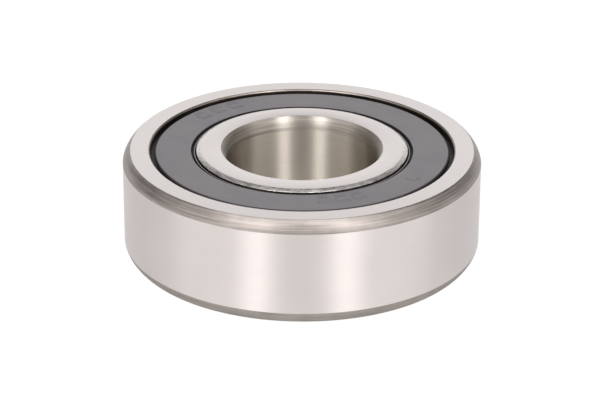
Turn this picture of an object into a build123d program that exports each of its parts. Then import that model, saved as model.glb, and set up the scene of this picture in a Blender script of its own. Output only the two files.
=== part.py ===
from build123d import *
import os
from math import sqrt

# Sealed single-row deep-groove ball bearing, 17 x 40 x 12 mm.
# All lengths are millimetres and all angles are degrees.  The origin is the bearing's
# centre and +Z is the axis that the rings turn about, so the bearing is symmetric in z.

# Driving dimensions
OUTER_DIAMETER = 40.0
BORE_DIAMETER = 17.0
WIDTH = 12.0
BALL_COUNT = 8
BALL_DIAMETER = 6.747
PITCH_DIAMETER = 28.5

# Raceways: a groove a little rounder than the ball, with a running gap under each ball
GROOVE_TO_BALL_RATIO = 0.52
RACE_GAP = 0.015
SHOULDER_HEIGHT = 1.24

# Ring corners, where the radial reach is shorter than the axial reach.  The outside ones
# are flat arcs that meet the ground faces at an edge; the bore's blend into its wall.
OUTER_CORNER_RADIAL = 0.84
OUTER_CORNER_AXIAL = 1.36
OUTER_CORNER_BULGE = 0.14
BORE_CORNER_RADIAL = 0.55
BORE_CORNER_AXIAL = 1.60

# Seal seat in the outer ring: a counterbore with a snap groove in its wall
SEAT_RADIUS = 16.96
SEAT_DEPTH = 1.50
SEAT_EDGE_CHAMFER = 0.17
SNAP_GROOVE_RADIUS = 17.55
SNAP_GROOVE_TOP_DEPTH = 0.80
SNAP_GROOVE_LAND = 0.15
SNAP_GROOVE_FLANK = 0.25

# Seal land on the inner ring: a stepped rim with a groove for the lip
RIM_FACE_RADIUS = 11.29
RIM_RADIUS = 11.80
RIM_CHAMFER_AXIAL = 0.24
RIM_DEPTH = 0.70
LIP_GROOVE_RADIUS = 11.48
LIP_GROOVE_TOP_DEPTH = 0.95
LIP_GROOVE_BOTTOM_DEPTH = 1.38
LIP_GROOVE_END_DEPTH = 1.65

# Seal: moulded rubber disc with a snap bead, a contact lip with a dust lip above it, and a
# bonded steel plate
SEAL_RECESS = 0.24
SEAL_OUTER_RADIUS = 16.43
SEAL_INNER_RADIUS = 12.38
SEAL_OUTER_CHAMFER_RADIAL = 0.23
SEAL_OUTER_CHAMFER_AXIAL = 0.16
SEAL_INNER_CHAMFER = 0.04
BEAD_TOP_DEPTH = 0.85
BEAD_SHOULDER_RADIUS = 16.92
BEAD_TIP_RADIUS = 17.50
BEAD_TIP_TOP_DEPTH = 1.14
BEAD_TIP_BOTTOM_DEPTH = 1.20
LIP_GAP = 0.03
LIP_NECK_RADIUS = 12.30
LIP_FLOOR_DEPTH = 0.85
DUST_LIP_OUTER_RADIUS = 12.07
DUST_LIP_INNER_RADIUS = 11.93
DUST_LIP_TOP_DEPTH = 0.30
DUST_LIP_FOOT_DEPTH = 0.80
LIP_TIP_TOP_DEPTH = 1.16
LIP_TIP_BOTTOM_DEPTH = 1.28
PLATE_INNER_RADIUS = 13.00
PLATE_OUTER_RADIUS = 16.60
PLATE_THICKNESS = 0.40
PLATE_EDGE_GAP = 0.01

# Ribbon cage: two pressed halves that meet at mid-height
CAGE_INNER_RADIUS = 12.90
CAGE_OUTER_RADIUS = 15.60
CAGE_SHEET = 0.55
POCKET_GAP = 0.07

# Cage rivets
RIVET_SHANK_RADIUS = 0.50
RIVET_HOLE_GAP = 0.01
RIVET_HEAD_RADIUS = 0.85
RIVET_HEAD_HEIGHT = 0.40

# Sizes that follow from the driving dimensions
HALF_WIDTH = WIDTH / 2
OUTER_RADIUS = OUTER_DIAMETER / 2
BORE_RADIUS = BORE_DIAMETER / 2
BALL_RADIUS = BALL_DIAMETER / 2
PITCH_RADIUS = PITCH_DIAMETER / 2
GROOVE_RADIUS = GROOVE_TO_BALL_RATIO * BALL_DIAMETER
OUTER_RACE_RADIUS = PITCH_RADIUS + BALL_RADIUS + RACE_GAP
INNER_RACE_RADIUS = PITCH_RADIUS - BALL_RADIUS - RACE_GAP
OUTER_LAND_RADIUS = OUTER_RACE_RADIUS - SHOULDER_HEIGHT
INNER_LAND_RADIUS = INNER_RACE_RADIUS + SHOULDER_HEIGHT
GROOVE_HALF_WIDTH = sqrt(GROOVE_RADIUS**2 - (GROOVE_RADIUS - SHOULDER_HEIGHT) ** 2)
BALL_STEP = 360 / BALL_COUNT


def below_face(radius, depth):
    """A profile point at a radius and at a depth below the bearing's upper face."""
    return (radius, HALF_WIDTH - depth)


def mirror_down(points):
    """The same profile points on the lower side, in the reverse order."""
    return [(radius, -height) for radius, height in reversed(points)]


def revolve_profile(lines):
    """A full turn about Z of a closed profile that is drawn as radius and height."""
    face = Plane.XZ * make_face(Curve() + lines)
    return revolve(face, axis=Axis.Z)


def race_arc(race_radius, land_radius):
    """The raceway groove, from its upper land to its lower land."""
    upper = (land_radius, GROOVE_HALF_WIDTH)
    return ThreePointArc(upper, (race_radius, 0), (land_radius, -GROOVE_HALF_WIDTH))


def ring_solid(side, corner, wall_point, race):
    """A ring from the upper half of its side profile, its upper corner and its race.

    side runs from the raceway's upper land to the start of the corner.  The corner ends at
    wall_point, the top of the wall that meets the shaft or the housing.
    """
    radius, height = wall_point
    return revolve_profile([
        Polyline(*side),
        corner,
        Line((radius, height), (radius, -height)),
        mirror(corner, about=Plane.XZ),
        Polyline(*mirror_down(side)),
        race,
    ])


def outer_ring():
    """Outer ring: ball track, two seal seats with snap grooves, rounded outside corners."""
    groove_wall_top = SNAP_GROOVE_TOP_DEPTH + SNAP_GROOVE_FLANK
    face_end = OUTER_RADIUS - OUTER_CORNER_RADIAL
    side = [
        (OUTER_LAND_RADIUS, GROOVE_HALF_WIDTH),
        below_face(OUTER_LAND_RADIUS, SEAT_DEPTH),
        below_face(SEAT_RADIUS, SEAT_DEPTH),
        below_face(SNAP_GROOVE_RADIUS, groove_wall_top + SNAP_GROOVE_LAND),
        below_face(SNAP_GROOVE_RADIUS, groove_wall_top),
        below_face(SEAT_RADIUS, SNAP_GROOVE_TOP_DEPTH),
        below_face(SEAT_RADIUS, SEAT_EDGE_CHAMFER),
        below_face(SEAT_RADIUS + SEAT_EDGE_CHAMFER, 0),
        below_face(face_end, 0),
    ]
    wall_point = below_face(OUTER_RADIUS, OUTER_CORNER_AXIAL)
    corner = SagittaArc(side[-1], wall_point, OUTER_CORNER_BULGE)
    return ring_solid(side, corner, wall_point, race_arc(OUTER_RACE_RADIUS, OUTER_LAND_RADIUS))


def inner_ring():
    """Inner ring: ball track, lip grooves, chamfered rims and rounded bore corners."""
    face_end = BORE_RADIUS + BORE_CORNER_RADIAL
    side = [
        (INNER_LAND_RADIUS, GROOVE_HALF_WIDTH),
        below_face(INNER_LAND_RADIUS, LIP_GROOVE_END_DEPTH),
        below_face(LIP_GROOVE_RADIUS, LIP_GROOVE_BOTTOM_DEPTH),
        below_face(LIP_GROOVE_RADIUS, LIP_GROOVE_TOP_DEPTH),
        below_face(RIM_RADIUS, RIM_DEPTH),
        below_face(RIM_RADIUS, RIM_CHAMFER_AXIAL),
        below_face(RIM_FACE_RADIUS, 0),
        below_face(face_end, 0),
    ]
    centre = below_face(face_end, BORE_CORNER_AXIAL)
    wall_point = below_face(BORE_RADIUS, BORE_CORNER_AXIAL)
    corner = EllipticalCenterArc(centre, BORE_CORNER_RADIAL, BORE_CORNER_AXIAL, 90, arc_size=90)
    return ring_solid(side, corner, wall_point, race_arc(INNER_RACE_RADIUS, INNER_LAND_RADIUS))


def seal_rubber():
    """Upper seal's rubber: flat face, snap bead outside, lips inside, pocket for the plate."""
    plate_top_depth = SEAT_DEPTH - PLATE_THICKNESS
    lip_tip_radius = LIP_GROOVE_RADIUS + LIP_GAP
    outline = [
        below_face(SEAL_INNER_RADIUS, SEAL_RECESS + SEAL_INNER_CHAMFER),
        below_face(SEAL_INNER_RADIUS + SEAL_INNER_CHAMFER, SEAL_RECESS),
        below_face(SEAL_OUTER_RADIUS - SEAL_OUTER_CHAMFER_RADIAL, SEAL_RECESS),
        below_face(SEAL_OUTER_RADIUS, SEAL_RECESS + SEAL_OUTER_CHAMFER_AXIAL),
        below_face(SEAL_OUTER_RADIUS, BEAD_TOP_DEPTH),
        below_face(BEAD_SHOULDER_RADIUS, BEAD_TOP_DEPTH),
        below_face(BEAD_TIP_RADIUS, BEAD_TIP_TOP_DEPTH),
        below_face(BEAD_TIP_RADIUS, BEAD_TIP_BOTTOM_DEPTH),
        below_face(BEAD_SHOULDER_RADIUS, SEAT_DEPTH),
        below_face(PLATE_OUTER_RADIUS, SEAT_DEPTH),
        below_face(PLATE_OUTER_RADIUS, plate_top_depth),
        below_face(PLATE_INNER_RADIUS, plate_top_depth),
        below_face(PLATE_INNER_RADIUS, SEAT_DEPTH),
        below_face(LIP_NECK_RADIUS, SEAT_DEPTH),
        below_face(lip_tip_radius, LIP_TIP_BOTTOM_DEPTH),
        below_face(lip_tip_radius, LIP_TIP_TOP_DEPTH),
        below_face(DUST_LIP_INNER_RADIUS, DUST_LIP_FOOT_DEPTH),
        below_face(DUST_LIP_INNER_RADIUS, DUST_LIP_TOP_DEPTH),
        below_face(DUST_LIP_OUTER_RADIUS, DUST_LIP_TOP_DEPTH),
        below_face(DUST_LIP_OUTER_RADIUS, LIP_FLOOR_DEPTH),
        below_face(SEAL_INNER_RADIUS, LIP_FLOOR_DEPTH),
    ]
    return revolve_profile([Polyline(*outline, close=True)])


def seal_plate():
    """Upper seal's flat steel plate, flush with the rubber on the side of the balls."""
    outer = PLATE_OUTER_RADIUS - PLATE_EDGE_GAP
    inner = PLATE_INNER_RADIUS + PLATE_EDGE_GAP
    washer = Circle(outer) - Circle(inner)
    floor = Plane.XY.offset(HALF_WIDTH - SEAT_DEPTH)
    return extrude(floor * washer, amount=PLATE_THICKNESS)


def ball_places():
    """The centres of the balls, evenly spaced on the pitch circle."""
    return PolarLocations(PITCH_RADIUS, BALL_COUNT)


def rivet_places():
    """The rivet axes, halfway between the balls."""
    return PolarLocations(PITCH_RADIUS, BALL_COUNT, start_angle=BALL_STEP / 2)


def cage_half():
    """Upper half of the ribbon cage: flat lands with rivet holes and domed ball pockets."""
    pocket_radius = BALL_RADIUS + POCKET_GAP
    dome_radius = pocket_radius + CAGE_SHEET
    ribbon = Circle(CAGE_OUTER_RADIUS) - Circle(CAGE_INNER_RADIUS)
    lands = extrude(ribbon, amount=CAGE_SHEET)
    band = extrude(ribbon, amount=dome_radius)
    domes = [place * Sphere(dome_radius) for place in ball_places()]
    pockets = [place * Sphere(pocket_radius) for place in ball_places()]
    hole_radius = RIVET_SHANK_RADIUS + RIVET_HOLE_GAP
    holes = [place * Cylinder(hole_radius, WIDTH) for place in rivet_places()]
    pressed = lands + [band & dome for dome in domes]
    return pressed - pockets - holes


def rivet():
    """One cage rivet on the Z axis: a shank through both sheets with a dome on each end."""
    head_top = CAGE_SHEET + RIVET_HEAD_HEIGHT
    half_outline = [
        (RIVET_HEAD_RADIUS, CAGE_SHEET),
        (RIVET_SHANK_RADIUS, CAGE_SHEET),
        (RIVET_SHANK_RADIUS, -CAGE_SHEET),
        (RIVET_HEAD_RADIUS, -CAGE_SHEET),
    ]
    crown = TangentArc((0, head_top), (RIVET_HEAD_RADIUS, CAGE_SHEET), tangent=(1, 0))
    foot = mirror(crown, about=Plane.XZ)
    core = Line((0, -head_top), (0, head_top))
    return revolve_profile([crown, Polyline(*half_outline), foot, core])


def build_parts():
    """Every node's name and solid, in the bearing's own frame."""
    nodes = {"outer_ring": outer_ring(), "inner_ring": inner_ring()}
    upper_halves = {"seal_rubber": seal_rubber(), "seal_plate": seal_plate(), "cage_half": cage_half()}
    for name, upper in upper_halves.items():
        nodes[name + "_top"] = upper
        nodes[name + "_bottom"] = mirror(upper, about=Plane.XY)
    for number, place in enumerate(ball_places(), start=1):
        nodes[f"ball_{number}"] = place * Sphere(BALL_RADIUS)
    for number, place in enumerate(rivet_places(), start=1):
        nodes[f"rivet_{number}"] = place * rivet()
    return nodes


os.makedirs("parts", exist_ok=True)
for node_name, solid in build_parts().items():
    export_step(solid, f"parts/{node_name}.step")
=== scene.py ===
"""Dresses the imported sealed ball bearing: ground steel rings, moulded rubber seals, light and camera."""

import logging
import math
from dataclasses import dataclass
from enum import Enum

import bmesh
import bpy
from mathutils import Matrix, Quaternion, Vector


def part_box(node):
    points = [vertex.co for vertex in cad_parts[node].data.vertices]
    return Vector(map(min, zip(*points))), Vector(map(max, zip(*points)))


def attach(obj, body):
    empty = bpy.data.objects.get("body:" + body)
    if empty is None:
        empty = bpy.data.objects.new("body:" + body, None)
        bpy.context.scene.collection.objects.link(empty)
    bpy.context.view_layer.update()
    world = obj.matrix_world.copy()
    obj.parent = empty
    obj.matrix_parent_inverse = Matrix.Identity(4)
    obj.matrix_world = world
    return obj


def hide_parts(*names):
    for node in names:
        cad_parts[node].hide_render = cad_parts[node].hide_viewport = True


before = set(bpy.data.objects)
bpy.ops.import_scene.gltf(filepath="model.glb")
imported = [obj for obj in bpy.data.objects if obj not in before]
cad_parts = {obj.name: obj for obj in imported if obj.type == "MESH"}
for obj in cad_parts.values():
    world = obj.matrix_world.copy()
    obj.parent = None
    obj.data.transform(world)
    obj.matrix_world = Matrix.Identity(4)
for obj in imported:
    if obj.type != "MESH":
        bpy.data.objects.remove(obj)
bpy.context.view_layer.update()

# Metres in a millimetre, and the decimals that a length read from the CAD model keeps.
MM = 0.001
DECIMALS = 4
FULL_TURN = 2 * math.pi
CIRCLE_DEGREES = 360
RIGHT_ANGLE_DEGREES = 90

# Steps round a ring, the distance at which two points count as one, and how edges are broken.
RING_SEGMENTS = 360
MERGE_MM = 0.0005
SHARP_ANGLE = math.radians(15)
BREAK_SEGMENTS = 3
ROUND_PROFILE = 0.5
AREA_WEIGHT = 100

# A turned corner's grooves: their depth in millimetres, and the two waves that they are made
# of, each with its radians a step, its phase and its share of the depth.
FINE_GROOVE = 0.0012
GROOVE_WAVES = ((1.9, 0.0, 1.0), (0.83, 1.0, 0.6))

# The sRGB curve: straight up to the knee, a power above it.
CHANNEL_MAX = 255
SRGB_KNEE = 0.04045
SRGB_SLOPE = 12.92
SRGB_OFFSET = 0.055
SRGB_POWER = 2.4

# The sockets of a colour Mix node, which go by number.
MIX_FIRST = 6
MIX_SECOND = 7
MIX_RESULT = 2

# Values that noise seldom leaves.
NOISE_RANGE = {"From Min": 0.3, "From Max": 0.7}
# A quarter of a turn: reflections stretch across the marks, not along them.
ACROSS_THE_MARKS = 0.25
RUBBER_IOR = 1.52
WHITE = "#ffffff"

log = logging.getLogger("bearing")

Tree = bpy.types.NodeTree
Node = bpy.types.Node
Socket = bpy.types.NodeSocket
Point = tuple[float, float]
Colour = tuple[float, float, float, float]
Settings = dict[str | int, object]
Links = dict[str | int, Socket]


# Shader helpers


def linear(hex_colour: str) -> Colour:
    """Turn an sRGB hex colour into the linear colour that shaders use.

    Args:
        hex_colour: six hex digits after a hash sign.

    Returns:
        Linear red, green and blue, and an alpha of 1.
    """
    channels = [level / CHANNEL_MAX for level in bytes.fromhex(hex_colour.removeprefix("#"))]
    red, green, blue = (
        c / SRGB_SLOPE if c <= SRGB_KNEE else ((c + SRGB_OFFSET) / (1 + SRGB_OFFSET)) ** SRGB_POWER
        for c in channels
    )
    return (red, green, blue, 1.0)


def wire(tree: Tree, node: Node, settings: Settings, links: Links) -> None:
    """Set a shader node's values and feed its inputs.

    Args:
        tree: the node tree that holds the node.
        node: the node.
        settings: values by name; a name that the node has as an attribute sets that, and
            any other name or number sets an input socket.
        links: the output socket that feeds each named or numbered input.
    """
    for name, value in settings.items():
        if isinstance(name, str) and hasattr(node, name):
            setattr(node, name, value)
        else:
            node.inputs[name].default_value = value
    for name, source in links.items():
        tree.links.new(source, node.inputs[name])


def add(tree: Tree, kind: str, settings: Settings, links: Links | None = None) -> Node:
    """Add a shader node with its settings and its links.

    Args:
        tree: the node tree that gets the node.
        kind: the node's type name after "ShaderNode".
        settings: its values, as in wire.
        links: what feeds its inputs, as in wire.

    Returns:
        The new node.
    """
    node = tree.nodes.new("ShaderNode" + kind)
    wire(tree, node, settings, links or {})
    return node


def from_axis(tree: Tree, place: Socket) -> tuple[Socket, Socket]:
    """Add the nodes that find where a place lies from the Z axis.

    Args:
        tree: the node tree that gets the nodes.
        place: the socket that gives the place.

    Returns:
        The level vector from the axis to the place, and its length.
    """
    flat = add(tree, "VectorMath", {"operation": "MULTIPLY", 1: (1, 1, 0)}, {0: place}).outputs[0]
    radius = add(tree, "VectorMath", {"operation": "LENGTH"}, {0: flat}).outputs["Value"]
    return flat, radius


class Noise(Enum):
    """Kinds of noise: how many finer layers each has, and how strong they are."""

    MARKS = {"Detail": 2.0, "Roughness": 0.55}
    FILM = {"Detail": 3.0, "Roughness": 0.5}
    BLOOM = {"Detail": 4.0, "Roughness": 0.6}
    GRAIN = {"Detail": 2.0, "Roughness": 0.5}

    def over(self, tree: Tree, place: Socket, size: float) -> Socket:
        """Add this noise over a place.

        Args:
            tree: the node tree that gets the node.
            place: the socket that gives the place.
            size: size of the noise's largest clouds, in the place's own unit.

        Returns:
            The noise's value, about 0 to 1.
        """
        return add(tree, "TexNoise", {"Scale": 1 / size, **self.value}, {"Vector": place}).outputs[0]


def blend(tree: Tree, first: str, second: str, share: Socket) -> Socket:
    """Add a blend of two colours.

    Args:
        tree: the node tree that gets the node.
        first: sRGB colour where the share is 0.
        second: sRGB colour where the share is 1.
        share: the socket that gives the share.

    Returns:
        The blended colour.
    """
    colours = {"data_type": "RGBA", MIX_FIRST: linear(first), MIX_SECOND: linear(second)}
    return add(tree, "Mix", colours, {0: share}).outputs[MIX_RESULT]


def relief(tree: Tree, height: Socket, depth: float) -> Socket:
    """Add a relief that only the light sees.

    Args:
        tree: the node tree that gets the node.
        height: the socket that gives the height, 0 to 1.
        depth: how far a height of 1 stands out, in millimetres.

    Returns:
        The bumped normal.
    """
    return add(tree, "Bump", {"Strength": 1.0, "Distance": depth * MM}, {"Height": height}).outputs[0]


@dataclass(frozen=True)
class Finish:
    """How a surface looks: one node material, built when it is first asked for.

    Attributes:
        name: the material's name.
    """

    name: str

    def paint(self, tree: Tree, shader: Node) -> None:
        """Add the finish's own nodes.

        Args:
            tree: the material's node tree.
            shader: its main shader.
        """
        raise NotImplementedError

    def make(self) -> bpy.types.Material:
        """Build the node material, or find it if it is there already.

        Returns:
            The material.
        """
        if self.name in bpy.data.materials:
            return bpy.data.materials[self.name]
        material = bpy.data.materials.new(self.name)
        material.use_nodes = True
        tree = material.node_tree
        self.paint(tree, tree.nodes["Principled BSDF"])
        return material


class Lay(Enum):
    """Which way the tool marks run on a turned or ground surface: what changes across them."""

    CYLINDER = "height"
    FACE = "radius"
    CORNER = "height less radius"


@dataclass(frozen=True)
class SteelFinish(Finish):
    """Bearing steel with marks that run round the axis.

    Attributes:
        dark: sRGB colour in the marks.
        light: sRGB colour between the marks.
        roughness: lowest and highest roughness across the marks.
        anisotropy: how far reflections stretch across the marks.
        lay: which coordinate changes across the marks.
        pitch: spacing of the marks, in millimetres.
        depth: depth of the marks, in millimetres.
        lobes: how often the marks fade in and out round the ring.
        stain: size of the soft oil-film clouds, in millimetres.
        stain_depth: how much the clouds darken the steel, 0 to 1.
        glance: how much of the glancing reflection the oil film leaves, 0 to 1.
    """

    dark: str
    light: str
    roughness: tuple[float, float]
    anisotropy: float
    lay: Lay
    pitch: float
    depth: float
    lobes: float
    stain: float
    stain_depth: float
    glance: float = 1.0

    def marks(self, tree: Tree, place: Socket) -> Socket:
        """Add the noise that is long round the axis and as short as the pitch across it.

        Args:
            tree: the node tree that gets the nodes.
            place: the socket that gives the place on the piece.

        Returns:
            The marks' height, about 0 to 1.
        """
        flat, radius = from_axis(tree, place)
        axes = add(tree, "SeparateXYZ", {}, {0: place})
        height = add(tree, "Math", {"operation": "ABSOLUTE"}, {0: axes.outputs[2]}).outputs[0]
        if self.lay is Lay.CYLINDER:
            across = height
        elif self.lay is Lay.FACE:
            across = radius
        else:
            across = add(tree, "Math", {"operation": "SUBTRACT"}, {0: height, 1: radius}).outputs[0]
        fine = add(tree, "Math", {"operation": "DIVIDE", 1: self.pitch * MM}, {0: across})
        around = add(tree, "VectorMath", {"operation": "NORMALIZE"}, {0: flat})
        lobed = add(tree, "VectorMath", {"operation": "SCALE", "Scale": self.lobes}, {0: around.outputs[0]})
        step = add(tree, "CombineXYZ", {}, {2: fine.outputs[0]})
        spread = add(tree, "VectorMath", {"operation": "ADD"}, {0: lobed.outputs[0], 1: step.outputs[0]})
        return Noise.MARKS.over(tree, spread.outputs[0], 1.0)

    def paint(self, tree: Tree, shader: Node) -> None:
        """Add the marks, the oil film over them and reflections that stretch across them.

        Args:
            tree: the material's node tree.
            shader: its main shader.
        """
        place = add(tree, "TexCoord", {}).outputs["Object"]
        marks = self.marks(tree, place)
        cloud = Noise.FILM.over(tree, place, self.stain * MM)
        tint = add(tree, "MapRange", NOISE_RANGE, {"Value": marks})
        base = blend(tree, self.dark, self.light, tint.outputs[0])
        film = add(tree, "MapRange", {**NOISE_RANGE, "To Min": 1 - self.stain_depth}, {"Value": cloud})
        stained = add(tree, "VectorMath", {"operation": "SCALE"}, {0: base, "Scale": film.outputs[0]})
        low, high = self.roughness
        gloss = add(tree, "MapRange", {**NOISE_RANGE, "To Min": low, "To Max": high}, {"Value": marks})
        around = add(tree, "Tangent", {"direction_type": "RADIAL", "axis": "Z"})
        settings = {
            "Metallic": 1.0,
            "Anisotropic": self.anisotropy,
            "Anisotropic Rotation": ACROSS_THE_MARKS,
            "Specular Tint": (self.glance, self.glance, self.glance, 1.0),
        }
        links = {
            "Base Color": stained.outputs[0],
            "Roughness": gloss.outputs[0],
            "Normal": relief(tree, marks, self.depth),
            "Tangent": around.outputs[0],
        }
        wire(tree, shader, settings, links)


@dataclass(frozen=True)
class RubberFinish(Finish):
    """Moulded nitrile rubber: dark, matte, with the fine grain of a spark-eroded mould.

    Attributes:
        colour: sRGB colour of the clean rubber.
        bloom: sRGB colour where the rubber has bloomed a little paler.
        roughness: lowest and highest roughness.
        grain: size of the mould grain, in millimetres.
        grain_depth: depth of the mould grain, in millimetres.
        cloud: size of the paler clouds, in millimetres.
    """

    colour: str
    bloom: str
    roughness: tuple[float, float]
    grain: float
    grain_depth: float
    cloud: float

    def paint(self, tree: Tree, shader: Node) -> None:
        """Add the paler clouds and the mould grain.

        Args:
            tree: the material's node tree.
            shader: its main shader.
        """
        place = add(tree, "TexCoord", {}).outputs["Object"]
        cloud = Noise.BLOOM.over(tree, place, self.cloud * MM)
        grain = Noise.GRAIN.over(tree, place, self.grain * MM)
        tint = add(tree, "MapRange", NOISE_RANGE, {"Value": cloud})
        low, high = self.roughness
        gloss = add(tree, "MapRange", {"To Min": low, "To Max": high}, {"Value": grain})
        links = {
            "Base Color": blend(tree, self.colour, self.bloom, tint.outputs[0]),
            "Roughness": gloss.outputs[0],
            "Normal": relief(tree, grain, self.grain_depth),
        }
        wire(tree, shader, {"IOR": RUBBER_IOR}, links)


@dataclass(frozen=True)
class SteelSheetFinish(Finish):
    """Plain steel without a lay, as on balls and pressed sheet.

    Attributes:
        dark: darker sRGB colour of its clouds.
        light: lighter sRGB colour of its clouds.
        roughness: lowest and highest roughness.
        grain: size of the clouds, in millimetres.
        depth: depth of the surface's waves, in millimetres.
    """

    dark: str
    light: str
    roughness: tuple[float, float]
    grain: float
    depth: float

    def paint(self, tree: Tree, shader: Node) -> None:
        """Add clouds of colour, gloss and height.

        Args:
            tree: the material's node tree.
            shader: its main shader.
        """
        place = add(tree, "TexCoord", {}).outputs["Object"]
        cloud = Noise.FILM.over(tree, place, self.grain * MM)
        low, high = self.roughness
        gloss = add(tree, "MapRange", {"To Min": low, "To Max": high}, {"Value": cloud})
        links = {
            "Base Color": blend(tree, self.dark, self.light, cloud),
            "Roughness": gloss.outputs[0],
            "Normal": relief(tree, cloud, self.depth),
        }
        wire(tree, shader, {"Metallic": 1.0}, links)


class Surface(Enum):
    """Each surface of the rings and seals, with the finish that it has.

    Real grinding and turning marks are some 0.02 mm apart, and mould grain is as fine. At that
    size they would only shimmer, so the pitches and the grain here are several times coarser.
    """

    # Bearing steel, face-ground: an even satin silver whose rings are too fine to see one by one.
    SIDE_FACE = SteelFinish(
        "ground_side_face", dark="#d5cecd", light="#d8d2d0", roughness=(0.27, 0.29), anisotropy=0.30,
        lay=Lay.FACE, pitch=0.15, depth=0.00002, lobes=4, stain=6.0, stain_depth=0.02,
    )
    # Bearing steel, centreless-ground: rings round the wall draw each light into an upright soft band.
    OUTSIDE = SteelFinish(
        "centreless_ground_outside", dark="#d9d1cf", light="#dbd3d0", roughness=(0.33, 0.35), anisotropy=0.97,
        lay=Lay.CYLINDER, pitch=0.15, depth=0.00001, lobes=3, stain=5.0, stain_depth=0.04, glance=0.85,
    )
    # Bearing steel, turned and left so: darker and browner than the ground faces, with tool streaks.
    CORNER = SteelFinish(
        "turned_corner", dark="#857d78", light="#b9b0ab", roughness=(0.40, 0.54), anisotropy=0.45,
        lay=Lay.CORNER, pitch=0.14, depth=0.0030, lobes=2.5, stain=2.0, stain_depth=0.18,
    )
    # The same turned corner on the lower side, with painted shade: duller and darker, its streaks half
    # drowned, for the shade on the table under the ring.
    SHADED_LOWER_CORNER = SteelFinish(
        "turned_corner_painted_shade", dark="#928a84", light="#aea6a0", roughness=(0.36, 0.46), anisotropy=0.30,
        lay=Lay.CORNER, pitch=0.16, depth=0.0020, lobes=4, stain=2.5, stain_depth=0.15, glance=0.60,
    )
    # Bearing steel, honed: a warm grey tube that draws the lights into tall pale stripes.
    BORE = SteelFinish(
        "honed_bore", dark="#c6bdb1", light="#cec5ba", roughness=(0.38, 0.42), anisotropy=1.00,
        lay=Lay.CYLINDER, pitch=0.12, depth=0.00002, lobes=3, stain=4.0, stain_depth=0.06, glance=0.15,
    )
    # Bearing steel, turned: fine rings that catch the light where the bore opens out to the face.
    BORE_CORNER = SteelFinish(
        "turned_bore_corner", dark="#968e85", light="#ccc4bb", roughness=(0.38, 0.48), anisotropy=0.95,
        lay=Lay.CORNER, pitch=0.13, depth=0.0015, lobes=1.0, stain=3.0, stain_depth=0.08,
    )
    # Bearing steel, turned and nicked: a thin rim that glitters with short pale chips of light.
    RIM = SteelFinish(
        "turned_rim", dark="#b6afab", light="#f0ece9", roughness=(0.22, 0.40), anisotropy=0.40,
        lay=Lay.CORNER, pitch=0.18, depth=0.0012, lobes=12, stain=1.5, stain_depth=0.12,
    )
    # Bearing steel, turned: a thin dark line round the seal, broken by lighter scratches.
    SEAT_EDGE = SteelFinish(
        "turned_seat_edge", dark="#7f756d", light="#a0968e", roughness=(0.30, 0.42), anisotropy=0.40,
        lay=Lay.FACE, pitch=0.06, depth=0.0015, lobes=8, stain=2.0, stain_depth=0.10,
    )
    # Bearing steel with heat-treatment scale, darkened further with painted shade: nearly black, so the gap
    # beside the seal reads deep.
    SEAT = SteelFinish(
        "scaled_seal_seat_painted_shade", dark="#3e3834", light="#5c544e", roughness=(0.35, 0.50), anisotropy=0.30,
        lay=Lay.CYLINDER, pitch=0.10, depth=0.0020, lobes=6, stain=2.0, stain_depth=0.20,
    )
    # Bearing steel, honed to a near mirror: the bright groove that the balls run in.
    RACEWAY = SteelFinish(
        "honed_raceway", dark="#cbc7c5", light="#dedbd9", roughness=(0.10, 0.16), anisotropy=0.50,
        lay=Lay.CYLINDER, pitch=0.08, depth=0.0001, lobes=3, stain=5.0, stain_depth=0.02,
    )
    # Nitrile rubber, moulded: a flat slate grey with a soft sheen and paler clouds.
    RUBBER = RubberFinish(
        "moulded_nitrile_rubber", colour="#605c60", bloom="#676365", roughness=(0.42, 0.52),
        grain=0.14, grain_depth=0.003, cloud=4.0,
    )
    # Nitrile rubber with painted shade: almost black, for the lips down inside the gaps and the outer edge of
    # the seal's rounding.
    SHADED_RUBBER = RubberFinish(
        "nitrile_rubber_painted_shade", colour="#1c1a1a", bloom="#292626", roughness=(0.50, 0.65),
        grain=0.20, grain_depth=0.004, cloud=3.0,
    )


class Inside(Enum):
    """Finishes of the steel parts that the seals hide."""

    # Chrome steel, lapped: a ball as bright as a mirror.
    BALL = SteelSheetFinish("lapped_ball", "#dcd9d7", "#e4e1df", (0.04, 0.07), 1.5, 0.00002)
    # Low-carbon strip, pressed: a dull warm grey, mottled where the press drew it.
    CAGE = SteelSheetFinish("pressed_cage_strip", "#9a938b", "#b1aaa2", (0.24, 0.38), 0.6, 0.0010)
    # Mild steel wire, headed: a little darker and more uneven than the cage round it.
    RIVET = SteelSheetFinish("headed_rivet", "#8e877f", "#a8a199", (0.28, 0.42), 0.4, 0.0010)
    # Cold-rolled sheet, blanked: an even mid grey with faint rolling clouds.
    PLATE = SteelSheetFinish("rolled_seal_plate", "#85837f", "#9a9894", (0.30, 0.45), 0.8, 0.0010)


# Mesh helpers


@dataclass(frozen=True)
class Strip:
    """One surface of a turned piece: its half-profile as radius and height, in millimetres."""

    surface: Surface
    points: list[Point]

    def mirrored(self) -> "Strip":
        """Return the same surface on the lower side of the bearing, where the turned corner gets its copy
        with painted shade.
        """
        # The lower turned corner wears painted shade.
        surface = Surface.SHADED_LOWER_CORNER if self.surface is Surface.CORNER else self.surface
        return Strip(surface, [(radius, -height) for radius, height in reversed(self.points)])


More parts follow.
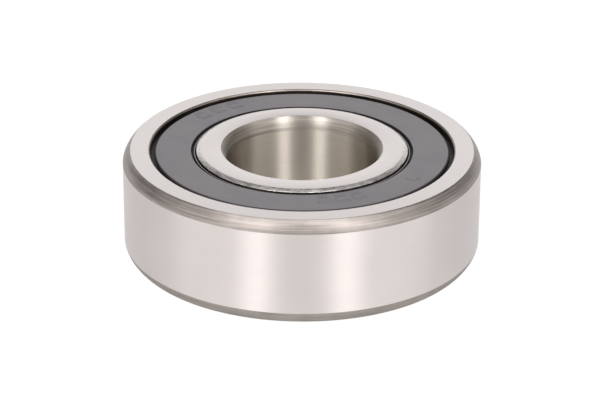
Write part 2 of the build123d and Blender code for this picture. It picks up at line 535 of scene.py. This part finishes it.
def bowed(start: Point, end: Point, bulge: float, steps: int, groove: float = 0.0) -> list[Point]:
    """Points of a shallow arc between two points, with fine turned grooves.

    Args:
        start: the arc's first point.
        end: the arc's last point.
        bulge: how far its middle stands out to the left of the way from start to end.
        steps: the number of straight steps.
        groove: depth of the tool's grooves, which fade out at both ends.

    Returns:
        steps + 1 points, in millimetres.
    """
    (x0, y0), (x1, y1) = start, end
    length = math.hypot(x1 - x0, y1 - y0)
    normal = (-(y1 - y0) / length, (x1 - x0) / length)
    points = []
    for i in range(steps + 1):
        t = i / steps
        ripple = sum(share * math.sin(i * rate + phase) for rate, phase, share in GROOVE_WAVES)
        # 4t(1 - t) is a bow that is 0 at both ends and 1 halfway.
        lift = 4 * bulge * t * (1 - t) + groove * ripple * math.sin(math.pi * t)
        points.append((x0 + (x1 - x0) * t + normal[0] * lift, y0 + (y1 - y0) * t + normal[1] * lift))
    return points


def spun(strips: list[Strip], edge_break: float) -> bmesh.types.BMesh:
    """Spin a closed profile round Z, one surface at a time, and break its sharp edges.

    Args:
        strips: the surfaces in order round the profile; each starts where the last ends.
        edge_break: width of the rounding on the sharp edges, in millimetres.

    Returns:
        A closed mesh whose faces carry the number of their surface as material.
    """
    mesh = bmesh.new()
    surfaces = used_surfaces(strips)
    carrier = bpy.data.meshes.new("band")
    for strip in strips:
        band = bmesh.new()
        corners = [band.verts.new((radius * MM, 0, height * MM)) for radius, height in strip.points]
        lines = [band.edges.new(pair) for pair in zip(corners, corners[1:])]
        bmesh.ops.spin(
            band, geom=corners + lines, cent=(0, 0, 0), axis=(0, 0, 1), dvec=(0, 0, 0),
            angle=FULL_TURN, steps=RING_SEGMENTS, use_merge=True, use_duplicate=False,
        )
        for face in band.faces:
            face.material_index = surfaces.index(strip.surface)
        band.to_mesh(carrier)
        band.free()
        mesh.from_mesh(carrier)
    bpy.data.meshes.remove(carrier)
    bmesh.ops.remove_doubles(mesh, verts=mesh.verts, dist=MERGE_MM * MM)
    bmesh.ops.recalc_face_normals(mesh, faces=mesh.faces)
    sharp = [e for e in mesh.edges if e.is_manifold and e.calc_face_angle() > SHARP_ANGLE]
    bmesh.ops.bevel(
        mesh, geom=sharp, offset=edge_break * MM, offset_type="OFFSET", affect="EDGES",
        segments=BREAK_SEGMENTS, profile=ROUND_PROFILE, material=-1, clamp_overlap=False,
    )
    return mesh


def used_surfaces(strips: list[Strip]) -> list[Surface]:
    """Return the surfaces that the strips use, each once, in order of first use."""
    return list(dict.fromkeys(strip.surface for strip in strips))


def placed(name: str, data: bpy.types.ID) -> bpy.types.Object:
    """Make an object and link it to the scene.

    Args:
        name: the object's name.
        data: its mesh, light or camera.

    Returns:
        The new object.
    """
    thing = bpy.data.objects.new(name, data)
    bpy.context.scene.collection.objects.link(thing)
    return thing


def finished(name: str, mesh: bmesh.types.BMesh, surfaces: list[Surface]) -> bpy.types.Object:
    """Turn a mesh into a smooth-shaded piece that wears the finishes of its surfaces.

    Args:
        name: the piece's name.
        mesh: its mesh, in metres, which is freed.
        surfaces: the surface for each material number.

    Returns:
        The new object, linked to the scene, with normals that keep its flat faces flat.
    """
    for face in mesh.faces:
        face.smooth = True
    data = bpy.data.meshes.new(name)
    mesh.to_mesh(data)
    mesh.free()
    piece = placed(name, data)
    for surface in surfaces:
        data.materials.append(surface.value.make())
    weighting = piece.modifiers.new("weighting", "WEIGHTED_NORMAL")
    weighting.weight = AREA_WEIGHT
    settled = bpy.data.meshes.new_from_object(piece.evaluated_get(bpy.context.evaluated_depsgraph_get()))
    piece.modifiers.clear()
    piece.data = settled
    bpy.data.meshes.remove(data)
    settled.name = name
    return piece


def join_frame(piece: bpy.types.Object, body: str, slot: str, *nodes: str) -> None:
    """Make a piece ride on its body and stand for its CAD nodes.

    Args:
        piece: the finished piece.
        body: the body that it moves with.
        slot: the record's material slot; not used.
        nodes: the CAD nodes that it stands for.
    """
    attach(piece, body)
    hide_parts(*nodes)
    log.info("%s: %d faces, rides on %s, stands for %s", piece.name, len(piece.data.polygons), body, nodes)


# The bearing's own pieces


@dataclass(frozen=True)
class OuterRing:
    """The outer ring; all sizes are millimetres."""

    outside_radius: float
    half_width: float
    corner_radial: float = 0.84
    corner_axial: float = 1.36
    corner_bulge: float = 0.14
    seat_radius: float = 16.96
    seat_chamfer: float = 0.17
    seat_bulge: float = 0.02
    seat_depth: float = 1.50
    snap_radius: float = 17.55
    snap_top_depth: float = 0.80
    snap_flank: float = 0.25
    snap_land: float = 0.15
    race_radius: float = 17.6385
    groove_radius: float = 3.50844
    shoulder: float = 1.24
    corner_steps: int = 40
    seat_steps: int = 4
    race_steps: int = 36
    edge_break: float = 0.035

    def upper(self) -> list[Strip]:
        """Draw the ring's upper half, from the raceway's upper edge to the top of the outside wall.

        Returns:
            The strips in order.
        """
        top = self.half_width
        land = self.race_radius - self.shoulder
        edge = race_half_width(self.groove_radius, self.shoulder)
        floor = top - self.seat_depth
        face_end = (self.outside_radius - self.corner_radial, top)
        wall_top = (self.outside_radius, top - self.corner_axial)
        snap_low = top - self.snap_top_depth - self.snap_flank
        seat = [
            (land, floor),
            (self.seat_radius, floor),
            (self.snap_radius, snap_low - self.snap_land),
            (self.snap_radius, snap_low),
            (self.seat_radius, top - self.snap_top_depth),
            (self.seat_radius, top - self.seat_chamfer),
        ]
        face_start = (self.seat_radius + self.seat_chamfer, top)
        seat_edge = bowed(seat[-1], face_start, self.seat_bulge, self.seat_steps)
        corner = bowed(face_end, wall_top, self.corner_bulge, self.corner_steps, FINE_GROOVE)
        return [
            Strip(Surface.RACEWAY, [(land, edge), (land, floor)]),
            Strip(Surface.SEAT, seat),
            Strip(Surface.SEAT_EDGE, seat_edge),
            Strip(Surface.SIDE_FACE, [face_start, face_end]),
            Strip(Surface.CORNER, corner),
        ]

    def build(self) -> bpy.types.Object:
        """Build the whole ring as one closed piece.

        Returns:
            The finished piece.
        """
        wall = self.half_width - self.corner_axial
        outside = Strip(Surface.OUTSIDE, [(self.outside_radius, wall), (self.outside_radius, -wall)])
        race = race_points(self.race_radius, self.groove_radius, self.shoulder, self.race_steps, -1)
        strips = closed_profile(self.upper(), outside, race)
        return finished("outer_ring_ground", spun(strips, self.edge_break), used_surfaces(strips))


@dataclass(frozen=True)
class InnerRing:
    """The inner ring; all sizes are millimetres."""

    half_width: float
    bore_radius: float = 8.5
    corner_radial: float = 0.55
    corner_axial: float = 1.60
    corner_bulge: float = 0.14
    rim_face_radius: float = 11.29
    rim_radius: float = 11.80
    rim_axial: float = 0.24
    rim_bulge: float = 0.02
    rim_depth: float = 0.70
    lip_groove_radius: float = 11.48
    lip_groove_top: float = 0.95
    lip_groove_bottom: float = 1.38
    lip_groove_end: float = 1.65
    race_radius: float = 10.8615
    groove_radius: float = 3.50844
    shoulder: float = 1.24
    corner_steps: int = 40
    rim_steps: int = 8
    race_steps: int = 36
    edge_break: float = 0.03

    def upper(self) -> list[Strip]:
        """Draw the ring's upper half, from the raceway's upper edge to the top of the bore wall.

        Returns:
            The strips in order.
        """
        top = self.half_width
        land = self.race_radius + self.shoulder
        edge = race_half_width(self.groove_radius, self.shoulder)
        rim_start, rim_end = (self.rim_radius, top - self.rim_axial), (self.rim_face_radius, top)
        rim = bowed(rim_start, rim_end, -self.rim_bulge, self.rim_steps)
        groove = [
            (land, top - self.lip_groove_end),
            (self.lip_groove_radius, top - self.lip_groove_bottom),
            (self.lip_groove_radius, top - self.lip_groove_top),
            (self.rim_radius, top - self.rim_depth),
            rim_start,
        ]
        face_end = (self.bore_radius + self.corner_radial, top)
        wall_top = (self.bore_radius, top - self.corner_axial)
        corner = bowed(face_end, wall_top, -self.corner_bulge, self.corner_steps, FINE_GROOVE)
        return [
            Strip(Surface.RACEWAY, [(land, edge), groove[0]]),
            Strip(Surface.SEAT, groove),
            Strip(Surface.RIM, rim),
            Strip(Surface.SIDE_FACE, [rim_end, face_end]),
            Strip(Surface.BORE_CORNER, corner),
        ]

    def build(self) -> bpy.types.Object:
        """Build the whole ring as one closed piece.

        Returns:
            The finished piece.
        """
        wall = self.half_width - self.corner_axial
        bore = Strip(Surface.BORE, [(self.bore_radius, wall), (self.bore_radius, -wall)])
        race = race_points(self.race_radius, self.groove_radius, self.shoulder, self.race_steps, 1)
        strips = closed_profile(self.upper(), bore, race)
        return finished("inner_ring_ground", spun(strips, self.edge_break), used_surfaces(strips))


def closed_profile(upper: list[Strip], wall: Strip, race: list[Point]) -> list[Strip]:
    """Close a ring's profile: its upper half, its straight wall, its lower half and its raceway."""
    return upper + [wall] + [strip.mirrored() for strip in reversed(upper)] + [Strip(Surface.RACEWAY, race)]


def race_half_width(groove_radius: float, shoulder: float) -> float:
    """Return half the width of a ball groove at its lands."""
    return math.sqrt(groove_radius**2 - (groove_radius - shoulder) ** 2)


def race_points(race: float, groove: float, shoulder: float, steps: int, side: int) -> list[Point]:
    """Points of a ball groove from its lower edge to its upper edge.

    Args:
        race: radius at the bottom of the groove.
        groove: radius of the groove's own arc.
        shoulder: depth of the groove.
        steps: the number of straight steps.
        side: 1 where the groove faces outwards, -1 where it faces the axis.

    Returns:
        steps + 1 points, in millimetres.
    """
    reach = math.asin(race_half_width(groove, shoulder) / groove)
    centre = race + side * groove
    turns = [reach * (2 * i / steps - 1) for i in range(steps + 1)]
    return [(centre - side * groove * math.cos(t), groove * math.sin(t)) for t in turns]


@dataclass(frozen=True)
class MarkRow:
    """A row of plain mould marks on a seal: raised bars at one radius.

    Attributes:
        starts: the angle in degrees at which each mark starts.
        span: the angle that each mark covers, in whole degrees.
        inner: the marks' inner radius, in millimetres.
        outer: the marks' outer radius, in millimetres.
    """

    starts: tuple[int, ...]
    span: int
    inner: float
    outer: float


# Two rows of three bars, on opposite sides, and a bar on its own.
SEAL_MARKS = (
    MarkRow(starts=(119, 128, 137), span=6, inner=14.05, outer=15.25),
    MarkRow(starts=(277, 285, 293), span=6, inner=13.55, outer=14.65),
    MarkRow(starts=(325,), span=5, inner=13.75, outer=14.85),
)


@dataclass(frozen=True)
class Seal:
    """One moulded rubber seal, drawn for the upper side.

    All sizes are millimetres. The rounding's steps are in degrees, and the first few of them wear the face's
    rubber; below them the rubber has painted shade, almost black.
    """

    half_width: float
    marks: tuple[MarkRow, ...] = SEAL_MARKS
    recess: float = 0.24
    outer: float = 16.43
    inner: float = 12.38
    outer_round_radial: float = 0.30
    outer_round_axial: float = 0.20
    outer_round_step: int = 15
    outer_round_unshaded: int = 2
    inner_chamfer: float = 0.04
    bead_depth: float = 0.85
    bead_shoulder: float = 16.92
    bead_tip: float = 17.50
    bead_tip_top: float = 1.14
    bead_tip_bottom: float = 1.20
    seat_depth: float = 1.50
    plate_outer: float = 16.60
    plate_inner: float = 13.00
    plate_thickness: float = 0.40
    neck: float = 12.30
    tip: float = 11.51
    tip_bottom: float = 1.28
    tip_top: float = 1.16
    dust_lip_inner: float = 11.93
    dust_lip_outer: float = 12.07
    dust_lip_top: float = 0.42
    dust_lip_foot: float = 0.80
    lip_floor: float = 0.85
    mark_height: float = 0.045
    mark_slope: float = 0.03
    edge_break: float = 0.02

    def below(self, depths: list[Point]) -> list[Point]:
        """Turn radius and depth below the bearing's face into radius and height."""
        return [(radius, self.half_width - depth) for radius, depth in depths]

    def strips(self) -> list[Strip]:
        """Draw the profile: the moulded face, the lips and the parts inside the gaps.

        Returns:
            The strips in order.
        """
        face_start = (self.inner + self.inner_chamfer, self.recess)
        face_end = (self.outer - self.outer_round_radial, self.recess)
        mark_edges = sorted({radius for row in self.marks for radius in (row.inner, row.outer)})
        rounding = [
            (
                face_end[0] + self.outer_round_radial * math.sin(math.radians(turn)),
                self.recess + self.outer_round_axial * (1 - math.cos(math.radians(turn))),
            )
            for turn in range(self.outer_round_step, RIGHT_ANGLE_DEGREES + 1, self.outer_round_step)
        ]
        face = [
            (self.inner, self.recess + self.inner_chamfer),
            face_start,
            *[(radius, self.recess) for radius in mark_edges],
            face_end,
            *rounding[: self.outer_round_unshaded],
        ]
        # The rest of the rounding and the lips in the gaps wear the rubber with painted shade.
        hidden = [
            *rounding[self.outer_round_unshaded - 1 :],
            (self.outer, self.bead_depth),
            (self.bead_shoulder, self.bead_depth),
            (self.bead_tip, self.bead_tip_top),
            (self.bead_tip, self.bead_tip_bottom),
            (self.bead_shoulder, self.seat_depth),
            (self.plate_outer, self.seat_depth),
            (self.plate_outer, self.seat_depth - self.plate_thickness),
            (self.plate_inner, self.seat_depth - self.plate_thickness),
            (self.plate_inner, self.seat_depth),
            (self.neck, self.seat_depth),
            (self.tip, self.tip_bottom),
            (self.tip, self.tip_top),
            (self.dust_lip_inner, self.dust_lip_foot),
            (self.dust_lip_inner, self.dust_lip_top),
        ]
        lip_top = [hidden[-1], (self.dust_lip_outer, self.dust_lip_top)]
        groove = [lip_top[-1], (self.dust_lip_outer, self.lip_floor), (self.inner, self.lip_floor), face[0]]
        return [
            Strip(Surface.RUBBER, self.below(face)),
            Strip(Surface.SHADED_RUBBER, self.below(hidden)),
            Strip(Surface.RUBBER, self.below(lip_top)),
            Strip(Surface.SHADED_RUBBER, self.below(groove)),
        ]

    def raise_marks(self, mesh: bmesh.types.BMesh) -> None:
        """Raise the mould marks out of the seal's face as plain bars.

        Args:
            mesh: the upper seal's mesh.
        """
        face_height = (self.half_width - self.recess) * MM
        level = [f for f in mesh.faces if abs(f.calc_center_median().z - face_height) < MERGE_MM * MM]
        for row in self.marks:
            for start in row.starts:
                mark = [f for f in level if covers(f, row, start)]
                bmesh.ops.inset_region(
                    mesh, faces=mark, thickness=self.mark_slope * MM, depth=self.mark_height * MM,
                    use_even_offset=True,
                )

    def build(self, name: str, below: bool) -> bpy.types.Object:
        """Build one seal.

        Args:
            name: the piece's name.
            below: True for the seal on the lower side.

        Returns:
            The finished piece.
        """
        strips = self.strips()
        mesh = spun(strips, self.edge_break)
        self.raise_marks(mesh)
        if below:
            turn = Quaternion((1, 0, 0), math.pi).to_matrix()
            bmesh.ops.rotate(mesh, verts=mesh.verts, cent=(0, 0, 0), matrix=turn)
        return finished(name, mesh, used_surfaces(strips))


def covers(face: bmesh.types.BMFace, row: MarkRow, start: int) -> bool:
    """Tell whether a face of a seal lies inside a mark.

    Args:
        face: the face.
        row: the row that the mark is in.
        start: the angle in degrees at which the mark starts.

    Returns:
        True if the face's middle lies inside it.
    """
    middle = face.calc_center_median()
    if not row.inner * MM < middle.xy.length < row.outer * MM:
        return False
    return start < math.degrees(math.atan2(middle.y, middle.x)) % CIRCLE_DEGREES < start + row.span


@dataclass(frozen=True)
class HiddenParts:
    """One kind of part that the seals hide, which keeps its CAD shape.

    Attributes:
        kind: how the CAD names of these parts start.
        finish: the finish that they all have.
    """

    kind: str
    finish: Inside

    def dress(self) -> None:
        """Give each part of this kind its finish."""
        for name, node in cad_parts.items():
            if name.startswith(self.kind):
                node.data.materials.clear()
                node.data.materials.append(self.finish.value.make())
                log.info("%s: dressed as %s", name, self.finish.value.name)


HIDDEN_PARTS = (
    HiddenParts("ball", Inside.BALL),
    HiddenParts("cage", Inside.CAGE),
    HiddenParts("rivet", Inside.RIVET),
    HiddenParts("seal_plate", Inside.PLATE),
)


# The studio


@dataclass(frozen=True)
class SoftBox:
    """A pair of soft boxes, one on each side of the camera.

    Attributes:
        turn: angle round the bearing from the camera to each box, in degrees.
        rise: height angle of each box, in degrees.
        width: width of each box, in metres.
        height: height of each box, in metres.
        power: light of each box, in watts.
    """

    turn: float
    rise: float
    width: float
    height: float
    power: float


class Boxes(Enum):
    """The pairs of soft boxes."""

    LOW = SoftBox(31.5, 10.0, 0.40, 0.40, 0.30)
    HIGH = SoftBox(30.0, 42.0, 0.31, 0.68, 5.8)


# The room's light by where it comes from: -1 is behind the camera, 1 is behind the bearing.
# The flat faces mirror the far end, and the front of the outside wall mirrors the near end.
ROOM_LIGHT = (
    (-1.0, 0.54), (-0.90, 0.68), (-0.55, 1.43), (-0.20, 1.42), (0.03, 0.54),
    (0.45, 0.28), (0.74, 0.46), (0.88, 1.08), (1.0, 1.20),
)

# A new stop's place on the ramp before it gets its own.
RAMP_MIDDLE = 0.5


@dataclass(frozen=True)
class TableFinish(Finish):
    """Opal acrylic, lit from below: a plain white ground. Under the bearing the glow is left out: a painted
    shadow.

    Attributes:
        glow: strength of the light that comes up through it.
        shade: grey level of the lit acrylic, 0 to 1.
        shadow_shade: grey level under the bearing, 0 to 1.
        shadow_radius: radius of the part under the bearing, in millimetres.
        shadow_fade: width over which the glow sets in, in millimetres.
    """

    glow: float = 0.98
    shade: float = 0.05
    shadow_shade: float = 0.70
    shadow_radius: float = 19.1
    shadow_fade: float = 0.4

    def paint(self, tree: Tree, shader: Node) -> None:
        """Add the glow and the painted shadow under the bearing, where the glow is left out.

        Args:
            tree: the material's node tree.
            shader: its main shader.
        """
        place = add(tree, "TexCoord", {}).outputs["Object"]
        radius = from_axis(tree, place)[1]
        spread = {
            "From Min": (self.shadow_radius - self.shadow_fade) * MM,
            "From Max": self.shadow_radius * MM,
        }
        # No glow under the bearing: a painted shadow.
        glow = add(tree, "MapRange", {**spread, "To Max": self.glow}, {"Value": radius})
        ends = {"To Min": self.shadow_shade, "To Max": self.shade}
        shade = add(tree, "MapRange", {**spread, **ends}, {"Value": radius})
        settings = {"Roughness": 1.0, "Specular IOR Level": 0.0, "Emission Color": linear(WHITE)}
        links = {"Emission Strength": glow.outputs[0], "Base Color": shade.outputs[0]}
        wire(tree, shader, settings, links)


@dataclass(frozen=True)
class Studio:
    """White light table, soft boxes and the camera; lengths are metres."""

    floor_height: float
    table_size: float = 6.0
    box_distance: float = 1.2
    camera_distance: float = 0.28466
    camera_rise: float = 24.555
    camera_roll: float = 0.328
    lens: float = 151.75
    shift: tuple[float, float] = (-0.00295, -0.0086)
    clip: tuple[float, float] = (0.01, 20.0)

    def lay_table(self) -> None:
        """Lay the pale light table that the bearing lies on."""
        mesh = bmesh.new()
        bmesh.ops.create_grid(mesh, x_segments=1, y_segments=1, size=self.table_size / 2)
        bmesh.ops.translate(mesh, verts=mesh.verts, vec=(0, 0, self.floor_height))
        data = bpy.data.meshes.new("light_table")
        mesh.to_mesh(data)
        mesh.free()
        table = placed("light_table", data)
        data.materials.append(TableFinish("opal_acrylic_table").make())

    def light_room(self) -> None:
        """Light the room by how far back the light comes from."""
        world = bpy.data.worlds.new("white_room")
        bpy.context.scene.world = world
        world.use_nodes = True
        tree = world.node_tree
        background = tree.nodes["Background"]
        way = add(tree, "TexCoord", {}).outputs["Generated"]
        depth = add(tree, "SeparateXYZ", {}, {0: way}).outputs[1]
        place = add(tree, "MapRange", {"From Min": -1.0, "From Max": 1.0}, {"Value": depth})
        ramp = add(tree, "ValToRGB", {}, {0: place.outputs[0]})
        ramp.color_ramp.interpolation = "EASE"
        stops = ramp.color_ramp.elements
        while len(stops) < len(ROOM_LIGHT):
            stops.new(RAMP_MIDDLE)
        for stop, (where, level) in zip(stops, ROOM_LIGHT):
            stop.position = (where + 1) / 2
            stop.color = (level, level, level, 1.0)
        wire(tree, background, {"Color": linear(WHITE)}, {"Strength": ramp.outputs[0]})

    def hang_soft_boxes(self, name: str, box: SoftBox) -> None:
        """Hang one pair of soft boxes.

        Args:
            name: the start of the lights' names.
            box: the pair's place, size and power.
        """
        for side, turn in (("left", -box.turn), ("right", box.turn)):
            data = bpy.data.lights.new(f"{name}_{side}", "AREA")
            data.shape = "RECTANGLE"
            data.size = box.width
            data.size_y = box.height
            data.energy = box.power
            light = placed(f"{name}_{side}", data)
            back = direction(turn, box.rise)
            light.location = back * self.box_distance
            light.rotation_euler = (-back).to_track_quat("-Z", "Y").to_euler()
            # A view from any side looks past the boxes, not at them.
            light.visible_camera = False

    def place_camera(self) -> None:
        """Place the camera and make it the scene's."""
        data = bpy.data.cameras.new("camera")
        data.lens = self.lens
        data.shift_x, data.shift_y = self.shift
        data.clip_start, data.clip_end = self.clip
        camera = placed("camera", data)
        back = direction(0, self.camera_rise)
        camera.location = back * self.camera_distance
        camera.rotation_mode = "QUATERNION"
        roll = Quaternion((0, 0, 1), math.radians(self.camera_roll))
        camera.rotation_quaternion = (-back).to_track_quat("-Z", "Y") @ roll
        bpy.context.scene.camera = camera

    def build(self) -> None:
        """Set up the table, the light and the camera."""
        bpy.context.scene.view_settings.view_transform = "Standard"
        self.lay_table()
        self.light_room()
        for pair in Boxes:
            self.hang_soft_boxes(pair.name.lower(), pair.value)
        self.place_camera()
        log.info("studio: table at %.4f m", self.floor_height)


def direction(turn: float, rise: float) -> Vector:
    """Find a direction seen from the bearing.

    Args:
        turn: angle to the right of the camera, in degrees.
        rise: angle above level, in degrees.

    Returns:
        The unit vector that points that way.
    """
    around, up = math.radians(turn), math.radians(rise)
    return Vector((math.sin(around) * math.cos(up), -math.cos(around) * math.cos(up), math.sin(up)))


def main() -> None:
    """Build every piece in order, then the studio."""
    logging.basicConfig(level=logging.INFO, format="%(name)s: %(message)s")
    low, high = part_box("outer_ring")
    half_width = round(high.z / MM, DECIMALS)
    outer = OuterRing(round(high.x / MM, DECIMALS), half_width)
    join_frame(outer.build(), "outer", "ring_steel", "outer_ring")
    inner = InnerRing(half_width)
    join_frame(inner.build(), "inner", "ring_steel", "inner_ring")
    seal = Seal(half_width)
    join_frame(seal.build("seal_upper_moulded", False), "outer", "seal_rubber", "seal_rubber_top")
    join_frame(seal.build("seal_lower_moulded", True), "outer", "seal_rubber", "seal_rubber_bottom")
    for parts in HIDDEN_PARTS:
        parts.dress()
    Studio(low.z).build()


if __name__ == "__main__":
    main()
